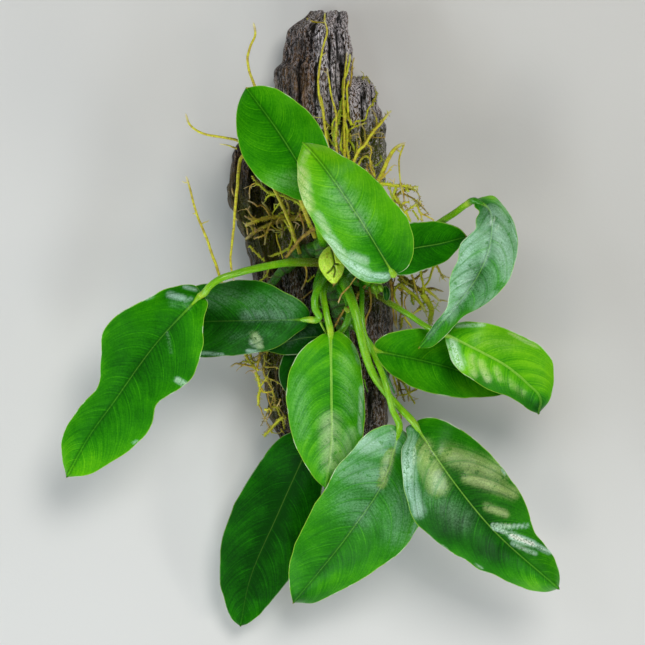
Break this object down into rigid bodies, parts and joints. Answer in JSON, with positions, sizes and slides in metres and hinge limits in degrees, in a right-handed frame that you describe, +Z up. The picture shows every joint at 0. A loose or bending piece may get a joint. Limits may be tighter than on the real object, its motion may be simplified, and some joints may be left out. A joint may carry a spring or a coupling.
{
  "type": "anubias plant on driftwood",
  "caption": "Broad-leaved aquarium plant whose creeping rhizome and mossy roots hold it to a flat-bottomed piece of driftwood, lying with its leaves up.",
  "frame": {"origin": "a point on the driftwood's flat underside, under the middle of the pictured view", "axes": "+Z up away from the underside, towards the viewer of the leaves; +Y along the wood towards its taller broken end; +X to the viewer's right"},
  "size_m": [0.193, 0.2448, 0.09],
  "materials": {
    "driftwood": "dark, wet, deeply furrowed old wood with bright glints along its fibres",
    "rhizome": "dark green, knobbly and ringed with old leaf scars",
    "petiole": "fresh yellow-green, smooth and slightly glossy, reddish brown low down on some",
    "leaf_dark": "deep green and leathery, glossy, with fine side veins",
    "leaf_mid": "bright green and leathery, glossy, with fine side veins and a thin pale margin",
    "leaf_young": "yellow-green, glossy, with a pale midrib",
    "root": "yellow-olive, dry and slightly wrinkled, paler at the tips",
    "mossy_root": "olive to brown, rough with short root hairs and moss"
  },
  "bodies": {
    "root": {"driftwood_trunk": "driftwood", "driftwood_right_spike": "driftwood", "driftwood_left_limb": "driftwood", "rhizome": "rhizome", "rhizome_left_branch": "rhizome", "rhizome_right_branch": "rhizome", "leaf_upper_left": "leaf_mid", "leaf_upper_centre": "leaf_mid", "leaf_far_left": "leaf_mid", "leaf_left": "leaf_dark", "leaf_left_under": "leaf_dark", "leaf_centre": "leaf_young", "leaf_centre_under": "leaf_dark", "leaf_lower_middle": "leaf_mid", "leaf_lower_right": "leaf_mid", "leaf_lower_left": "leaf_dark", "leaf_right_under": "leaf_dark", "leaf_curled": "leaf_mid", "leaf_right": "leaf_young", "leaf_right_behind": "leaf_mid", "shoot_leaf": "leaf_dark", "spathe_bud": "leaf_young", "petiole_of_leaf_upper_left": "petiole", "petiole_of_leaf_upper_centre": "petiole", "petiole_of_leaf_far_left": "petiole", "petiole_of_leaf_left": "petiole", "petiole_of_leaf_left_under": "petiole", "petiole_of_leaf_centre": "petiole", "petiole_of_leaf_centre_under": "petiole", "petiole_of_leaf_lower_middle": "petiole", "petiole_of_leaf_lower_right": "petiole", "petiole_of_leaf_lower_left": "petiole", "petiole_of_leaf_right_under": "petiole", "petiole_of_leaf_curled": "petiole", "petiole_of_leaf_right": "petiole", "petiole_of_leaf_right_behind": "petiole", "petiole_of_spathe_bud": "petiole", "root_top_left": "root", "root_left": "root", "root_left_fork": "root", "root_far_left": "root", "root_up_the_trunk": "root", "root_trunk_middle": "root", "root_trunk_right": "root", "root_right_arch": "root", "root_right_hanging": "root", "root_mass_left": "mossy_root", "root_mass_trunk": "mossy_root", "root_mass_right": "mossy_root", "root_mass_middle_right": "mossy_root", "root_mass_lower_left": "mossy_root", "root_mass_lower_right": "mossy_root"}
  },
  "joints": []
}
